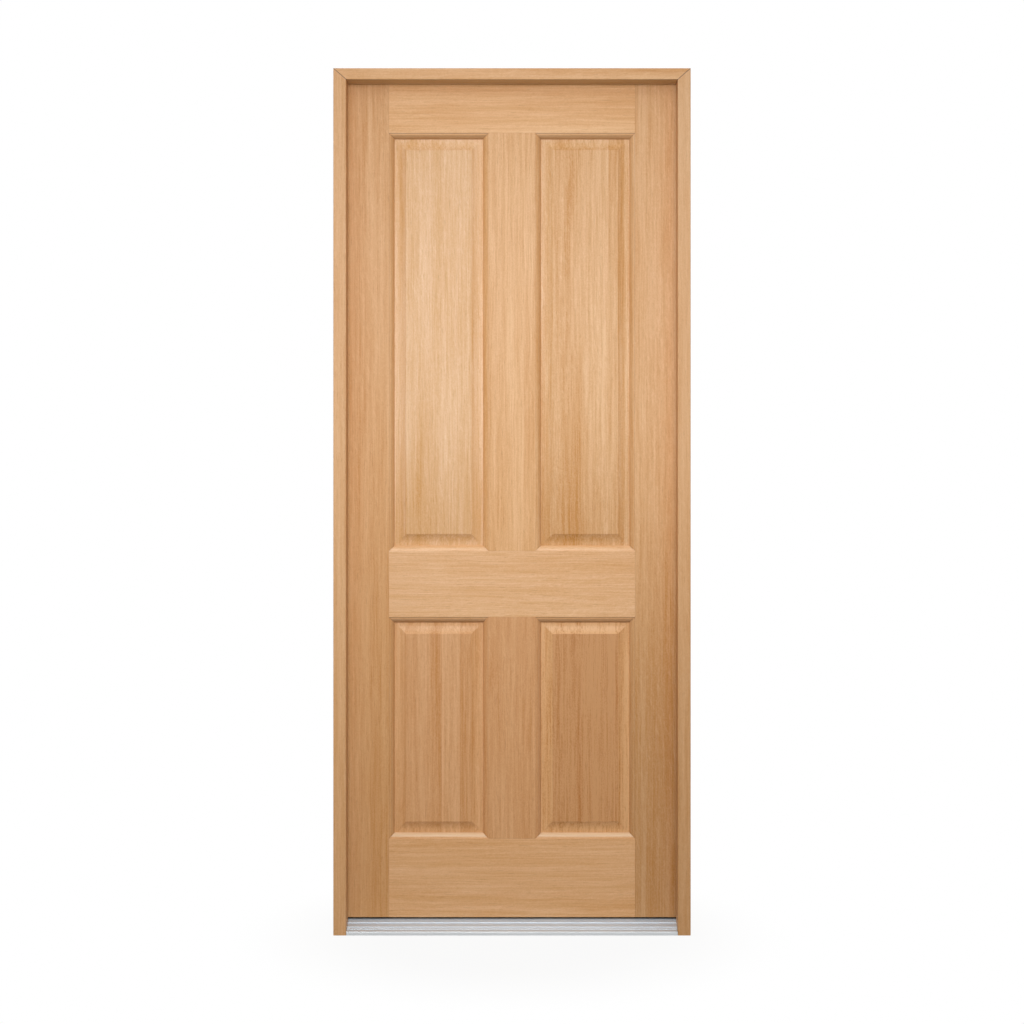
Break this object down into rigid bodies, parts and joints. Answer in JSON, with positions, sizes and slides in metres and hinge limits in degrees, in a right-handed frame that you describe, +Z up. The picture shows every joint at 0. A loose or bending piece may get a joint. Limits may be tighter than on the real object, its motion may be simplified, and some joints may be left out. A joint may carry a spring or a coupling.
{
  "type": "panelled front door",
  "caption": "Oak front door with raised and fielded panels, hung on butt hinges in a mitred oak frame with a ribbed aluminium threshold and weather seals.",
  "frame": {"origin": "middle of the threshold's underside, on the floor line, at mid-width and mid-depth of the frame", "axes": "+Z up; +X to the right seen from outside; +Y inwards, so the outside face looks along -Y"},
  "size_m": [0.859, 0.109, 2.0844],
  "materials": {
    "oak": "satin lacquered light oak",
    "dowel_timber": "plain turned hardwood",
    "mill_aluminium": "mill finish",
    "hinge_steel": "satin",
    "screw_steel": "bright",
    "seal_rubber": "matt"
  },
  "bodies": {
    "frame": {"hinge_jamb": "oak", "lock_jamb": "oak", "head": "oak", "threshold": "mill_aluminium", "hinge_jamb_seal": "seal_rubber", "lock_jamb_seal": "seal_rubber", "head_seal": "seal_rubber", "threshold_seal": "seal_rubber", "upper_hinge_frame_plate": "hinge_steel", "middle_hinge_frame_plate": "hinge_steel", "lower_hinge_frame_plate": "hinge_steel", "upper_hinge_pin": "hinge_steel", "middle_hinge_pin": "hinge_steel", "lower_hinge_pin": "hinge_steel", "upper_hinge_bearings": "hinge_steel", "middle_hinge_bearings": "hinge_steel", "lower_hinge_bearings": "hinge_steel", "hinge_frame_screws": "screw_steel", "corner_screws": "screw_steel", "threshold_screws": "screw_steel"},
    "leaf": {"hinge_stile": "oak", "lock_stile": "oak", "top_rail": "oak", "middle_rail": "oak", "bottom_rail": "oak", "upper_muntin": "oak", "lower_muntin": "oak", "upper_left_panel": "oak", "upper_right_panel": "oak", "lower_left_panel": "oak", "lower_right_panel": "oak", "rail_dowels": "dowel_timber", "muntin_dowels": "dowel_timber", "upper_hinge_leaf_plate": "hinge_steel", "middle_hinge_leaf_plate": "hinge_steel", "lower_hinge_leaf_plate": "hinge_steel", "hinge_leaf_screws": "screw_steel"}
  },
  "joints": [
    {"name": "leaf_swing", "type": "hinge", "parent": "frame", "child": "leaf", "pos_m": [-0.408, 0.055, 1.032], "axis": [0, 0, 1], "range_deg": [0, 180]}
  ]
}
